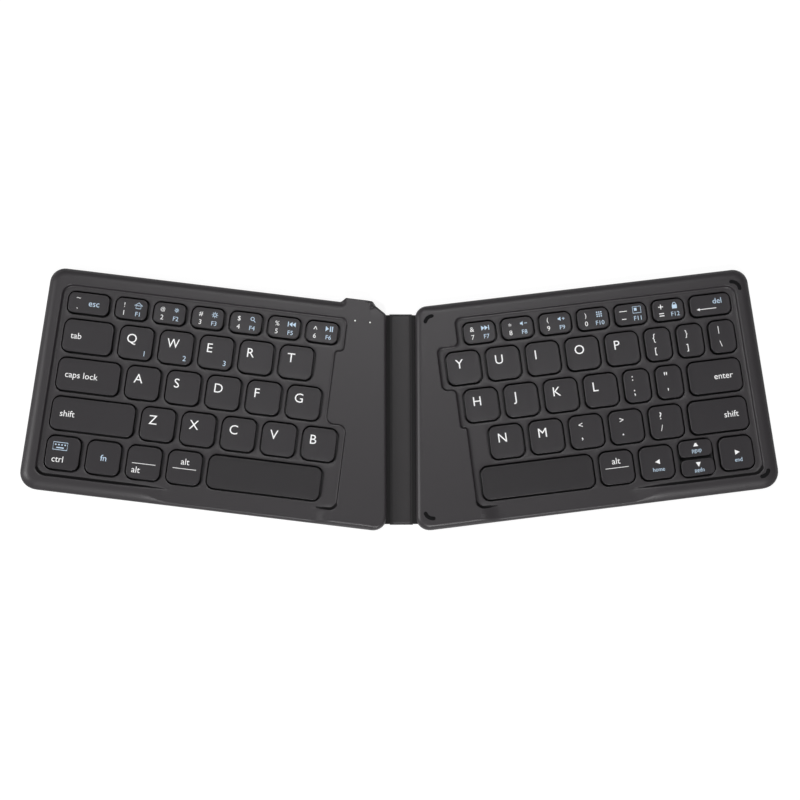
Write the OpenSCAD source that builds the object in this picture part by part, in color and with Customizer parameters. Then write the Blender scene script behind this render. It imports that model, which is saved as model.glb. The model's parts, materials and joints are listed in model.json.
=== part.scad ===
// Folding keyboard: two thin halves joined by a soft book spine with two creases.
// X runs along the keyboard, Y towards its back, Z up. Z = 0 is the underside.

/* [Halves] */
// turn of each half's rows away from X, degrees
splay = 7; // [0:0.5:12]
// back of the halves' own frame behind the spine's middle
half_y = 6.9; // [0:0.1:12]
// outer side of a half, along its rows
side_u = 147.5; // [130:0.5:165]
// back edge of a half
back_v = 37.3; // [32:0.1:42]
// front edge of a half
front_v = -53.1; // [-60:0.1:-48]
// distance of a half's inner wall from the middle
wall_x = 5.8; // [5.5:0.1:8]
// thickness of a half
thick = 5.45; // [4.5:0.05:8]
// thickness of the bottom cover
floor_h = 1; // [0.8:0.1:1.5]

/* [Key well] */
// height of the deck between the keys
deck_z = 4; // [3.5:0.1:5]
// width of the rim along the outer side
rim_side = 6.5; // [5:0.1:9]
// width of the rim along the back
rim_back = 6.8; // [5:0.1:9]
// width of the rim along the front
rim_front = 6.4; // [5:0.1:9]
// inner end of the finger notch in the front rim
notch_in = 30; // [28:0.5:40]
// outer end of the finger notch in the front rim
notch_out = 88; // [80:0.5:95]

/* [Keys] */
// distance between two letter keys
pitch = 16.25; // [15:0.05:18]
// distance between two key rows
row_pitch = 15.89; // [14:0.01:17]
// distance from the number row to the row in front of it
number_pitch = 13.62; // [11:0.01:16]
// distance from the well's back wall to the middle of the number row
row_back = 6.86; // [6:0.01:9]
// width of a letter key
letter_w = 13.4; // [12:0.1:15]
// depth of a letter key
letter_h = 13.1; // [12:0.1:15]
// width of a number key
number_w = 12.75; // [11:0.05:14]
// depth of a number key
number_h = 8.4; // [7:0.1:12]
// depth of each half-height arrow key
arrow_h = 6.6; // [5:0.1:7]
// width of a narrow punctuation key
narrow_w = 10.4; // [9:0.1:13]
// width of a space bar
space_w = 45; // [40:0.5:50]
// gap between a key and its window
key_gap = 0.62; // [0.4:0.01:0.8]
// corner radius of a letter key
key_r = 2.8; // [1:0.1:4]
// height of the key tops
key_z = 5.2; // [4.8:0.05:6]
// travel of a key
travel = 1; // [0.8:0.1:1.4]

/* [Spine] */
// length of the spine
spine_l = 85.8; // [80:0.1:95]
// distance of each crease from the middle
crease_x = 5.15; // [4.8:0.05:6]
// thickness of the spine's skin
skin_h = 0.9; // [0.8:0.05:1.2]
// radius of the bead along a crease
bead_r = 0.42; // [0.35:0.01:0.44]
// half width of the stiff panel in the spine
panel_x = 3.8; // [3:0.1:4.2]
// middle of the flat cable along the spine
cable_y = 20; // [10:0.5:24]
// width of the flat cable
cable_w = 8; // [5:0.5:9]

/* [Inside] */
// width of the battery pouch
battery_w = 11; // [8:0.5:12]
// length of the battery pouch
battery_l = 47; // [30:1:48]
// width of the main board
board_w = 12.6; // [10:0.2:14]
// length of the main board
board_l = 21.6; // [16:0.2:24]
// radius of the corner rests' arcs
rest_r = 3.1; // [2.5:0.1:4]

/* [Hidden] */
$fn = 72;

case_col = [0.07, 0.07, 0.075];
key_col = [0.06, 0.06, 0.065];
steel_col = [0.6, 0.6, 0.62];
sheet_col = [0.75, 0.76, 0.74];

s7 = sin(splay);
c7 = cos(splay);
well_u = side_u - rim_side;
well_back = back_v - rim_back;
well_front = front_v + rim_front;
row_v = well_back - row_back - number_pitch;
gap = pitch - letter_w;
wall = 0.8;
ceil_z = key_z - 1;
skirt_z = 3;
plate_z = floor_h + 0.3;
sheet_z = plate_z + 0.2;
dome_z = ceil_z - 1;
fold_z = 0.45;
row_y = [row_v + number_pitch, row_v, row_v - row_pitch, row_v - 2 * row_pitch,
  row_v - 3 * row_pitch];
row_end = [well_u - 2.7, well_u - 2.8, well_u - 2.8, well_u - 2.8, well_u - 3.1];
lw = letter_w;
nw = number_w;
left_rows = [[16.5, nw, nw, nw, nw, nw, nw], [19.8, lw, lw, lw, lw, lw],
  [24.9, lw, lw, lw, lw, lw], [33.2, lw, lw, lw, lw, lw], [lw, lw, lw, lw, space_w]];
right_rows = [[16.5, nw, nw, nw, nw, nw, nw],
  [narrow_w, narrow_w, narrow_w, lw, lw, lw, lw, lw],
  [21.45, narrow_w, narrow_w, lw, lw, lw, lw], [23.7, lw, lw, lw, lw, lw],
  [lw, lw, lw, lw, space_w]];
arrow_row = 4;
arrow_i = 1;
arrow_step = 3.83;

// the halves' corners, counter-clockwise from the inner front corner
function wall_u(v) = (wall_x + v * s7) / c7;
function case_pts(side) = side > 0
  ? [[wall_u(front_v), front_v], [side_u, front_v], [side_u, back_v], [wall_u(back_v), back_v]]
  : [[wall_u(front_v), front_v], [side_u, front_v], [side_u, back_v], [29.2, back_v],
     [27.2, back_v + 1.6], [16.2, back_v + 1.6], [14.6, back_v - 0.3],
     [wall_u(back_v - 3.1), back_v - 3.1]];
function case_rads(side) = side > 0 ? [5.5, 7, 6, 5] : [5.5, 7, 6, 1.4, 0.9, 0.9, 1.2, 2.5];
function well_pts(side) = side > 0
  ? [[24.9, well_front], [well_u, well_front], [well_u, well_back], [25.8, well_back],
     [25.8, row_v + 9.1], [17.1, row_v + 9.1], [17.1, row_v - 8.4], [22.5, row_v - 8.4],
     [22.5, row_v - 24.3], [24.9, row_v - 24.3]]
  : [[20.7, well_front], [well_u, well_front], [well_u, well_back], [25.6, well_back],
     [25.6, row_v + 6.9], [28.9, row_v + 6.9], [28.9, row_v - 23], [20.7, row_v - 23]];
function well_rads(side) = side > 0
  ? [3, 4, 4, 2.5, 2.2, 2.2, 2.2, 2.2, 1.1, 1.1] : [3, 4, 4, 2.5, 1.5, 1.5, 3, 3];

// each corner moved inwards by d, for a polygon that runs counter-clockwise
function unit(a) = a / norm(a);
function inward(a) = [-a[1], a[0]];
function inset(p, d) = [for (i = [0:len(p) - 1])
  let(n = len(p), a = inward(unit(p[i] - p[(i + n - 1) % n])),
      b = inward(unit(p[(i + 1) % n] - p[i]))) p[i] + d * (a + b) / (1 + a * b)];
function turns_left(p, i) = let(n = len(p), a = p[i] - p[(i + n - 1) % n],
  b = p[(i + 1) % n] - p[i]) a[0] * b[1] - a[1] * b[0] > 0;
function inset_rads(p, r, d) = [for (i = [0:len(p) - 1])
  max(0.2, turns_left(p, i) ? r[i] - d : r[i] + d)];

// every corner rounded by its own radius, with k + 1 points on each arc
function round_corner(p, i, r, k) = let(n = len(p), a = unit(p[(i + n - 1) % n] - p[i]),
  b = unit(p[(i + 1) % n] - p[i]), half = acos(a * b) / 2, t = r / tan(half),
  c = p[i] + unit(a + b) * r / sin(half), m = unit(p[i] + a * t - c),
  q = unit(p[i] + b * t - c), w = acos(max(-1, min(1, m * q))))
  [for (j = [0:k]) c + r * (sin(w * (1 - j / k)) * m + sin(w * j / k) * q) / sin(w)];
function rounded(p, r, k = 8) = [for (i = [0:len(p) - 1])
  for (q = round_corner(p, i, r[i], k)) q];
function outline(p, r, d = 0) = rounded(inset(p, d), inset_rads(p, r, d));
function rect_pts(w, h, r) = rounded([[-w / 2, -h / 2], [w / 2, -h / 2], [w / 2, h / 2],
  [-w / 2, h / 2]], [r, r, r, r], 4);

// where each key stands on its half
function rows_of(side) = side > 0 ? right_rows : left_rows;
function width_of(side, row, i) = rows_of(side)[row][i];
function gap_of(row) = row == 0 ? 2.78 : gap;
function before(side, row, i) = i == 0 ? 0
  : before(side, row, i - 1) + width_of(side, row, i - 1) + gap_of(row);
function u_of(side, row, i) = row_end[row] - before(side, row, i) - width_of(side, row, i) / 2;
function h_of(row) = row == 0 ? number_h : letter_h;
function is_arrow(side, row, i) = side > 0 && row == arrow_row && i == arrow_i;

module place(side) {
  translate([0, half_y, 0]) mirror([side > 0 ? 0 : 1, 0, 0]) rotate([0, 0, splay]) children();
}

module slab(pts, z0, z1) {
  translate([0, 0, z0]) linear_extrude(z1 - z0) polygon(pts);
}

// a window, its dome and its linkage for every key of a half
module windows(side) {
  for (row = [0:4]) for (i = [0:len(rows_of(side)[row]) - 1])
    translate([u_of(side, row, i), row_y[row], 0])
      slab(rect_pts(width_of(side, row, i) + 2 * key_gap,
        (is_arrow(side, row, i) ? arrow_h + 2 * arrow_step : h_of(row)) + 2 * key_gap,
        key_r + key_gap - (row == 0 ? 0.4 : 0)), floor_h - 1, thick + 1);
}

module dome(h) {
  r = min(2.3, h / 2 - 1.8);
  translate([0, 0, sheet_z - 0.1]) cylinder(r1 = r, r2 = r * 0.55, h = dome_z - sheet_z + 0.1);
}

module domes(side) {
  for (row = [0:4]) for (i = [0:len(rows_of(side)[row]) - 1])
    translate([u_of(side, row, i), row_y[row], 0])
      if (is_arrow(side, row, i)) {
        translate([0, arrow_step, 0]) dome(arrow_h);
        translate([0, -arrow_step, 0]) dome(arrow_h);
      } else dome(h_of(row));
}

// two crossed side links and the rods that their feet turn on
module scissor(w, h) {
  a = min(4.3, w / 2 - 1.5);
  s = h / 2 - 1.4;
  z0 = sheet_z;
  z1 = ceil_z;
  k = 2 * a - 0.6;
  zm = (z0 + z1) / 2;
  za = z0 + (z1 - z0) * (a - 0.6) / k;
  zb = z0 + (z1 - z0) * a / k;
  cross = [[-a, z0], [0.6 - a, z0], [0, za], [a - 0.6, z0], [a, z0], [0.3, zm], [a, z1],
    [a - 0.6, z1], [0, zb], [0.6 - a, z1], [-a, z1], [-0.3, zm]];
  for (t = [-s, s])
    translate([0, t + 0.3, 0]) rotate([90, 0, 0]) linear_extrude(0.6) polygon(cross);
  for (t = [-a, a - 0.5]) translate([t, -s, z0]) cube([0.5, 2 * s, 0.45]);
}

module scissors(side) {
  for (row = [0:4]) for (i = [0:len(rows_of(side)[row]) - 1])
    translate([u_of(side, row, i), row_y[row], 0]) {
      w = width_of(side, row, i);
      if (is_arrow(side, row, i)) {
        translate([0, arrow_step, 0]) scissor(w, arrow_h);
        translate([0, -arrow_step, 0]) scissor(w, arrow_h);
      } else if (w > 30) {
        translate([w / 2 - 7, 0, 0]) scissor(14, h_of(row));
        translate([7 - w / 2, 0, 0]) scissor(14, h_of(row));
      } else scissor(w, h_of(row));
    }
}

module shell_top(side) {
  p = case_pts(side);
  r = case_rads(side);
  difference() {
    union() {
      slab(outline(p, r), floor_h, thick - 0.9);
      slab(outline(p, r, 0.3), thick - 0.95, thick - 0.4);
      slab(outline(p, r, 0.7), thick - 0.45, thick - 0.12);
      slab(outline(p, r, 1.3), thick - 0.15, thick);
    }
    slab(outline(well_pts(side), well_rads(side)), deck_z, thick + 1);
    windows(side);
    slab(outline(well_pts(side), well_rads(side), 0.8), floor_h - 1, sheet_z + 0.05);
    translate([0, well_front + 2, 0]) rotate([90, 0, 0]) linear_extrude(12)
      polygon([[notch_in + 3.5, deck_z], [notch_out - 3.5, deck_z],
        [notch_out + 1.2, thick + 0.5], [notch_in - 1.2, thick + 0.5]]);
    for (m = magnet_spots) translate([m[0], m[1], floor_h - 1]) cylinder(r = 1.85, h = 4.9);
  }
}

magnet_spots = [[side_u - 3.3, back_v - 25.3], [side_u - 3.3, front_v + 29.1]];

module magnets(side) {
  for (m = magnet_spots) translate([m[0], m[1], 3.4]) cylinder(r = 1.8, h = 1.5);
}

module shell_bottom(side) {
  p = case_pts(side);
  r = case_rads(side);
  difference() {
    union() {
      place(side) {
        slab(outline(p, r, 0.8), 0, 0.3);
        slab(outline(p, r, 0.35), 0.25, 0.65);
        slab(outline(p, r), 0.6, floor_h);
      }
      translate([side > 0 ? crease_x + 0.15 : -7.4, -spine_l / 2, 0])
        cube([7.4 - crease_x - 0.15, spine_l, fold_z]);
    }
    translate([side * crease_x, spine_l / 2 + 1, fold_z]) rotate([90, 0, 0])
      cylinder(r = bead_r + 0.08, h = spine_l + 2);
    translate([side > 0 ? crease_x : -20.4, cable_y - cable_w / 2 - 0.3, 0.35])
      cube([20.4 - crease_x, cable_w + 0.6, 2]);
  }
}

module arc_bar(u, v, turn, r, w, z0, z1) {
  translate([u, v, 0]) rotate([0, 0, turn]) slab(concat(
    [for (j = [0:8]) (r + w / 2) * [cos(j * 11.25), sin(j * 11.25)]],
    [for (j = [8:-1:0]) (r - w / 2) * [cos(j * 11.25), sin(j * 11.25)]]), z0, z1);
}

// the four quarter-round rests near the right half's corners
module rests(w, z0, z1) {
  arc_bar(wall_u(back_v) + 6.2, back_v - 7.8, 90, rest_r, w, z0, z1);
  arc_bar(wall_u(front_v) + 7.6, front_v + 7.4, 180, rest_r, w, z0, z1);
  arc_bar(side_u - 7.6, back_v - 8.4, 0, rest_r, w, z0, z1);
  arc_bar(side_u - 7.7, front_v + 7.8, 270, rest_r, w, z0, z1);
}

module cap(w, h, r) {
  difference() {
    union() {
      slab(rect_pts(w, h, r), skirt_z, key_z - 0.2);
      slab(rect_pts(w - 0.5, h - 0.5, r - 0.25), key_z - 0.3, key_z);
    }
    slab(rect_pts(w - 2 * wall, h - 2 * wall, r - wall), skirt_z - 1, ceil_z);
  }
  translate([0, 0, dome_z]) cylinder(r = min(1.2, h / 2 - 2.2), h = ceil_z - dome_z + 0.3);
}

module key_at(side, row, i) {
  color(key_col) place(side) translate([u_of(side, row, i), row_y[row], 0])
    if (is_arrow(side, row, i)) {
      translate([0, arrow_step, 0]) cap(width_of(side, row, i), arrow_h, 2);
      translate([0, -arrow_step, 0]) cap(width_of(side, row, i), arrow_h, 2);
    } else cap(width_of(side, row, i), h_of(row), row == 0 ? key_r - 0.4 : key_r);
}

module right_bottom_case() color(case_col) shell_bottom(1);
module left_bottom_case() color(case_col) shell_bottom(-1);

module right_top_case() {
  color(case_col) place(1) difference() {
    shell_top(1);
    rests(1.3, 4.4, thick + 1);
  }
}

module left_top_case() {
  color(case_col) place(-1) difference() {
    shell_top(-1);
    slab(rect_pts(battery_w + 0.6, battery_l + 3.8, 1.2) + shift_by(battery_u, battery_v + 1.4),
      floor_h - 1, 4.45);
    slab(rect_pts(board_w + 0.6, board_l + 0.8, 1) + shift_by(board_u, board_v), floor_h - 1, 4.5);
    translate([18.2, back_v - 6.3, 1.65]) cube([7.9, 9, 2.95]);
    for (u = light_u) translate([u, light_v, 0]) cylinder(r = 0.62, h = thick + 1);
  }
}

function shift_by(u, v) = [for (i = [0:19]) [u, v]];
light_u = [22.4, 16.3];
light_v = back_v - 7.4;
battery_u = wall_x + 8.1;
battery_v = front_v + 32.7;
board_u = wall_x + 12.3;
board_v = back_v - 16.4;

module key_plate(side) {
  slab(outline(well_pts(side), well_rads(side), 1), floor_h, plate_z);
}

module dome_sheet(side) {
  slab(outline(well_pts(side), well_rads(side), 1), plate_z, sheet_z);
  domes(side);
}

module right_key_plate() color(steel_col) place(1) key_plate(1);
module left_key_plate() color(steel_col) place(-1) key_plate(-1);
module right_dome_sheet() color(sheet_col) place(1) dome_sheet(1);
module left_dome_sheet() color(sheet_col) place(-1) dome_sheet(-1);
module right_scissors() color(sheet_col) place(1) scissors(1);
module left_scissors() color(sheet_col) place(-1) scissors(-1);
module right_bumpers() color([0.02, 0.02, 0.02]) place(1) rests(1.2, 4.4, thick + 0.2);
module right_magnets() color(steel_col) place(1) magnets(1);
module left_magnets() color(steel_col) place(-1) magnets(-1);

module battery() {
  color([0.5, 0.52, 0.55]) place(-1) {
    slab(rect_pts(battery_w, battery_l, 1) + shift_by(battery_u, battery_v), floor_h, 4.2);
    slab(rect_pts(battery_w - 3, 2.4, 0.5) + shift_by(battery_u, battery_v + battery_l / 2 + 1.1),
      floor_h, 2.6);
  }
}

module main_board() {
  color([0.05, 0.25, 0.12]) place(-1) {
    slab(rect_pts(board_w, board_l, 0.8) + shift_by(board_u, board_v), 1.5, 2.3);
    slab(rect_pts(5, 5, 0.3) + shift_by(board_u - 0.6, board_v - 1.5), 2.2, 3.3);
    slab(rect_pts(3, 4, 0.3) + shift_by(board_u + 3.4, board_v - 6.5), 2.2, 3);
    for (i = [-1, 1]) for (j = [-1, 1])
      translate([board_u + i * (board_w / 2 - 1), board_v + j * (board_l / 2 - 1), floor_h])
        cylinder(r = 0.6, h = 0.6);
  }
}

module charging_port() {
  color(steel_col) place(-1) difference() {
    translate([18.3, back_v - 5.2, 1.75]) cube([7.7, 6.7, 2.75]);
    translate([18.7, back_v - 2.7, 2.15]) cube([6.9, 5, 1.95]);
  }
  color([0.03, 0.03, 0.03]) place(-1) translate([19.6, back_v - 3, 2.85]) cube([5.1, 4, 0.5]);
}

module status_lights() {
  color([0.7, 0.8, 0.7]) place(-1)
    for (u = light_u) translate([u, light_v, 2.3]) cylinder(r = 0.55, h = thick - 2.3);
}

module spine_skin() {
  color(case_col) {
    difference() {
      translate([-crease_x, -spine_l / 2, 0]) cube([2 * crease_x, spine_l, skin_h]);
      translate([-panel_x - 0.05, 1.45 - spine_l / 2, 0.6])
        cube([2 * panel_x + 0.1, spine_l - 2.9, 1]);
      translate([-9, cable_y - cable_w / 2 - 0.1, 0.38]) cube([18, cable_w + 0.2, 0.14]);
    }
    for (x = [-crease_x, crease_x]) {
      bead(x, -spine_l / 2, cable_y - cable_w / 2 - 0.4);
      bead(x, cable_y + cable_w / 2 + 0.4, spine_l / 2);
    }
  }
}

module bead(x, y0, y1) {
  translate([x, y1, fold_z]) rotate([90, 0, 0]) cylinder(r = bead_r, h = y1 - y0);
}

module spine_panel() {
  color([0.05, 0.05, 0.055])
    translate([-panel_x, 1.5 - spine_l / 2, 0.6]) cube([2 * panel_x, spine_l - 3, 0.4]);
}

module flex_cable() {
  color([0.55, 0.35, 0.1])
    translate([-wall_x - 7.7, cable_y - cable_w / 2, 0.4]) cube([2 * wall_x + 21.9, cable_w, 0.1]);
}

module key_q() key_at(-1, 1, 1);
module key_w() key_at(-1, 1, 2);
module key_e() key_at(-1, 1, 3);
module key_r_letter() key_at(-1, 1, 4);
module key_t() key_at(-1, 1, 5);
module key_a() key_at(-1, 2, 1);
module key_s() key_at(-1, 2, 2);
module key_d() key_at(-1, 2, 3);
module key_f() key_at(-1, 2, 4);
module key_g() key_at(-1, 2, 5);
module key_z_letter() key_at(-1, 3, 1);
module key_x() key_at(-1, 3, 2);
module key_c() key_at(-1, 3, 3);
module key_v() key_at(-1, 3, 4);
module key_b() key_at(-1, 3, 5);
module key_y() key_at(1, 1, 7);
module key_u_letter() key_at(1, 1, 6);
module key_i() key_at(1, 1, 5);
module key_o() key_at(1, 1, 4);
module key_p() key_at(1, 1, 3);
module key_h() key_at(1, 2, 6);
module key_j() key_at(1, 2, 5);
module key_k() key_at(1, 2, 4);
module key_l() key_at(1, 2, 3);
module key_n() key_at(1, 3, 5);
module key_m() key_at(1, 3, 4);
module key_space_left() key_at(-1, 4, 4);
module key_space_right() key_at(1, 4, 4);
module key_esc() key_at(-1, 0, 0);
module key_del() key_at(1, 0, 0);
module key_tab() key_at(-1, 1, 0);
module key_caps() key_at(-1, 2, 0);
module key_shift_left() key_at(-1, 3, 0);
module key_enter() key_at(1, 2, 0);
module key_shift_right() key_at(1, 3, 0);
module keys_left_numbers() for (i = [1:6]) key_at(-1, 0, i);
module keys_right_numbers() for (i = [1:6]) key_at(1, 0, i);
module keys_punctuation() {
  for (i = [0:2]) key_at(1, 1, i);
  for (i = [1:2]) key_at(1, 2, i);
  for (i = [1:3]) key_at(1, 3, i);
}
module keys_left_modifiers() for (i = [0:3]) key_at(-1, 4, i);
module keys_right_arrows() for (i = [0:3]) key_at(1, 4, i);

right_bottom_case();
right_top_case();
right_key_plate();
right_dome_sheet();
right_scissors();
right_bumpers();
right_magnets();
left_bottom_case();
left_top_case();
left_key_plate();
left_dome_sheet();
left_scissors();
battery();
main_board();
charging_port();
status_lights();
left_magnets();
spine_skin();
spine_panel();
flex_cable();
key_q();
key_w();
key_e();
key_r_letter();
key_t();
key_a();
key_s();
key_d();
key_f();
key_g();
key_z_letter();
key_x();
key_c();
key_v();
key_b();
key_y();
key_u_letter();
key_i();
key_o();
key_p();
key_h();
key_j();
key_k();
key_l();
key_n();
key_m();
key_space_left();
key_space_right();
key_esc();
key_del();
key_tab();
key_caps();
key_shift_left();
key_enter();
key_shift_right();
keys_left_numbers();
keys_right_numbers();
keys_punctuation();
keys_left_modifiers();
keys_right_arrows();
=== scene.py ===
"""Looks of the folding keyboard: two splayed halves on a soft book spine, seen from straight above.

Lengths in the functions are in millimetres and in a half's own frame: u runs outwards along the key rows,
v towards the back, z up. to_world turns them into metres in the row frame.
"""
import json
import math

import bmesh
import bpy
import numpy as np
from mathutils import Matrix, Vector
from mathutils.geometry import delaunay_2d_cdt


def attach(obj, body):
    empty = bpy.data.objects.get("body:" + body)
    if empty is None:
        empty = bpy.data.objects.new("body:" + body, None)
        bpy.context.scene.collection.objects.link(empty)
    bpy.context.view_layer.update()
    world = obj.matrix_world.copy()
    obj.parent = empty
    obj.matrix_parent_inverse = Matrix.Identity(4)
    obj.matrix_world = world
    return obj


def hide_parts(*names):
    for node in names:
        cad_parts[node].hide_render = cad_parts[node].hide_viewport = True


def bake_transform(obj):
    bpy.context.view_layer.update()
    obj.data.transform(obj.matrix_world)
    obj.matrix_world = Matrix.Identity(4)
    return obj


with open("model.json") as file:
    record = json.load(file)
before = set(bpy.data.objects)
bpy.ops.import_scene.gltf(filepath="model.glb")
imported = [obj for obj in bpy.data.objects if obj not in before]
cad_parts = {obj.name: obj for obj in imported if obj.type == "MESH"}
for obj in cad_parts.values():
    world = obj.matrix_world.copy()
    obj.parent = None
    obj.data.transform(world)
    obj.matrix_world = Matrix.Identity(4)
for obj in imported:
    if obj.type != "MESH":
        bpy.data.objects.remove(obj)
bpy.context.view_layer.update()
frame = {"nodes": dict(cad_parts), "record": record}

MM = 0.001
SIDE_NAME = {-1: "left", 1: "right"}

# the halves, as in the frame but for SIDE_U, which is 0.2 mm less
SPLAY = math.radians(7)
HALF_Y = 6.9
WALL_X = 5.8
SIDE_U, BACK_V, FRONT_V = 147.3, 37.3, -53.1
TOP_Z, DECK_Z, SEAM_Z, KEY_Z = 5.45, 4.0, 1.0, 5.2
WELL_U, WELL_BACK, WELL_FRONT = 141.0, 30.5, -46.7
# where the finger notch's two ends rise, between which values of u
NOTCH_IN, NOTCH_OUT = {1: (26.0, 34.0), -1: (22.5, 30.0)}, (87.0, 99.0)
SEAM_IN, SEAM_HIGH = 0.2, 0.15
COVER_ROUND_IN, COVER_ROUND_UP = 1.1, 0.8
WINDOW_LOW, WINDOW_MIDDLE = 1.55, 2.6

# the keys
PITCH, ROW_PITCH, NUMBER_PITCH, ROW_V = 16.25, 15.89, 13.62, 10.02
LETTER_W, LETTER_H, NUMBER_W, NUMBER_H, ARROW_H = 13.4, 13.1, 12.75, 8.4, 6.6
NARROW_W, SPACE_W, KEY_GAP, KEY_R, ARROW_STEP = 10.4, 45.0, 0.62, 2.8, 3.83
NUMBER_GAP, NUMBER_R_LESS, ARROW_R = 2.78, 0.4, 2.0
SKIRT_Z, CEILING_Z, CAP_WALL, CAP_WALL_R = 3.0, 4.2, 0.8, 1.6
MARK_Z = KEY_Z - 0.035

# the spine
SPINE_L = 85.8
PANEL_X, PANEL_R, PANEL_SHORTER = 3.9, 0.9, 0.5
CABLE_Y, CABLE_HALF = 20, 4.0


def to_world(side, u, v, z):
    """(u, v) turned by SPLAY, mirrored in X for the left half and moved back by HALF_Y, in metres."""
    u, v, z = np.broadcast_arrays(np.asarray(u, float), v, z)
    c, s = math.cos(SPLAY), math.sin(SPLAY)
    return np.stack([side * (u * c - v * s), u * s + v * c + HALF_Y, z], -1) * MM


def wall_u(v):
    """Where a half's inner wall, a line of constant X, stands at v."""
    return (WALL_X + v * math.sin(SPLAY)) / math.cos(SPLAY)


# ---------------------------------------------------------------- outlines

def rounded(points, radii, k=8):
    """Each corner of the polygon replaced by k + 1 points on an arc of its radius that touches both sides."""
    p = np.array(points, float)
    a = np.roll(p, 1, 0) - p
    b = np.roll(p, -1, 0) - p
    a /= np.linalg.norm(a, axis=1)[:, None]
    b /= np.linalg.norm(b, axis=1)[:, None]
    r = np.array(radii, float)[:, None]
    half = np.arccos(np.clip((a * b).sum(1), -1, 1))[:, None] / 2
    mid = (a + b) / np.linalg.norm(a + b, axis=1)[:, None]
    c = p + mid * r / np.sin(half)
    m = p + a * r / np.tan(half) - c
    q = p + b * r / np.tan(half) - c
    w = (math.pi - 2 * half)[:, None]
    t = np.linspace(0, 1, k + 1)[None, :, None]
    arc = c[:, None] + (np.sin(w * (1 - t)) * m[:, None] + np.sin(w * t) * q[:, None]) / np.sin(w)
    return arc.reshape(-1, 2)


def rounded_box(a, b, r, k):
    """A rounded rectangle round the origin, a and b from its middle to its sides."""
    return rounded([[-a, -b], [a, -b], [a, b], [-a, b]], [r] * 4, k)


def circle(n):
    """n points of a unit circle: cosine and sine of equal steps of angle."""
    a = np.linspace(0, 2 * math.pi, n + 1)[:-1]
    return np.stack([np.cos(a), np.sin(a)], 1)


def moved_in(points, d):
    """Each corner of a counter-clockwise polygon moved inwards by d, along both of its sides' normals."""
    p = np.array(points, float)
    a = p - np.roll(p, 1, 0)
    b = np.roll(p, -1, 0) - p
    a /= np.linalg.norm(a, axis=1)[:, None]
    b /= np.linalg.norm(b, axis=1)[:, None]
    a, b = np.stack([-a[:, 1], a[:, 0]], 1), np.stack([-b[:, 1], b[:, 0]], 1)
    return p + d * (a + b) / (1 + (a * b).sum(1))[:, None]


def offset(points, radii, d):
    """The rounded polygon d further in: a corner that turns left loses d of its radius, others gain it."""
    p = np.array(points, float)
    a = p - np.roll(p, 1, 0)
    b = np.roll(p, -1, 0) - p
    left = a[:, 0] * b[:, 1] - a[:, 1] * b[:, 0] > 0
    r = np.array(radii)
    return rounded(moved_in(p, d), np.maximum(0.15, np.where(left, r - d, r + d)))


def dense(loop, step):
    """Points added on the loop's straight stretches so that none is longer than step."""
    nxt = np.roll(loop, -1, 0)
    n = np.maximum(1, np.ceil(np.linalg.norm(nxt - loop, axis=1) / step).astype(int))
    at = np.repeat(np.arange(len(loop)), n)
    k = (np.arange(n.sum()) - np.repeat(np.cumsum(n) - n, n)) / n[at]
    return loop[at] + (nxt - loop)[at] * k[:, None]


def inside(points, loop):
    """Signed distance of each point to the loop, in numpy: above 0 inside it."""
    p, a = np.asarray(points, float)[:, None], loop[None]
    b = np.roll(loop, -1, 0)[None]
    e = b - a
    t = np.clip(((p - a) * e).sum(-1) / np.maximum((e * e).sum(-1), 1e-12), 0, 1)
    d = np.linalg.norm(p - a - t[..., None] * e, axis=-1).min(1)
    y = p[..., 1]
    cross = (a[..., 1] > y) != (b[..., 1] > y)
    with np.errstate(divide="ignore", invalid="ignore"):
        x = a[..., 0] + (y - a[..., 1]) * e[..., 0] / e[..., 1]
    odd = (cross & (p[..., 0] < x)).sum(1) % 2
    return np.where(odd == 1, d, -d)


def smooth(x, a, b):
    """0 before a, 1 after b and a smooth rise between them."""
    t = np.clip((x - a) / (b - a), 0, 1)
    return t * t * (3 - 2 * t)


# corners and their radii: the cases, the left one with its block at the back, and the key wells
FRONT_AND_SIDE = [[wall_u(FRONT_V), FRONT_V], [SIDE_U, FRONT_V], [SIDE_U, BACK_V]]
BLOCK_END = 34.2
CASE = {
    1: (FRONT_AND_SIDE + [[wall_u(BACK_V), BACK_V]], [5.5, 7, 6, 5]),
    -1: (FRONT_AND_SIDE + [[14.9, BACK_V], [wall_u(BLOCK_END), BLOCK_END]], [5.5, 7, 6, 2.5, 2.5]),
}
PORT = (FRONT_AND_SIDE + [[29.2, BACK_V], [27.2, BACK_V + 1.6], [16.2, BACK_V + 1.6], [14.6, BACK_V - 0.3],
                          [wall_u(BLOCK_END), BLOCK_END]], [5.5, 7, 6, 1.4, 0.9, 0.9, 1.2, 2.5])
WELL = {
    1: ([[24.9, WELL_FRONT], [WELL_U, WELL_FRONT], [WELL_U, WELL_BACK], [25.8, WELL_BACK], [25.8, 19.1],
         [17.1, 19.1], [17.1, 1.6], [22.5, 1.6], [22.5, -14.3], [24.9, -14.3]],
        [3, 4, 4, 2.5, 2.2, 2.2, 2.2, 2.2, 1.1, 1.1]),
    -1: ([[20.7, WELL_FRONT], [WELL_U, WELL_FRONT], [WELL_U, WELL_BACK], [25.6, WELL_BACK], [25.6, 16.9],
          [28.9, 16.9], [28.9, -13], [20.7, -13]], [3, 4, 4, 2.5, 1.5, 1.5, 3, 3]),
}

# ---------------------------------------------------------------- keys: where each stands and its node

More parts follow.
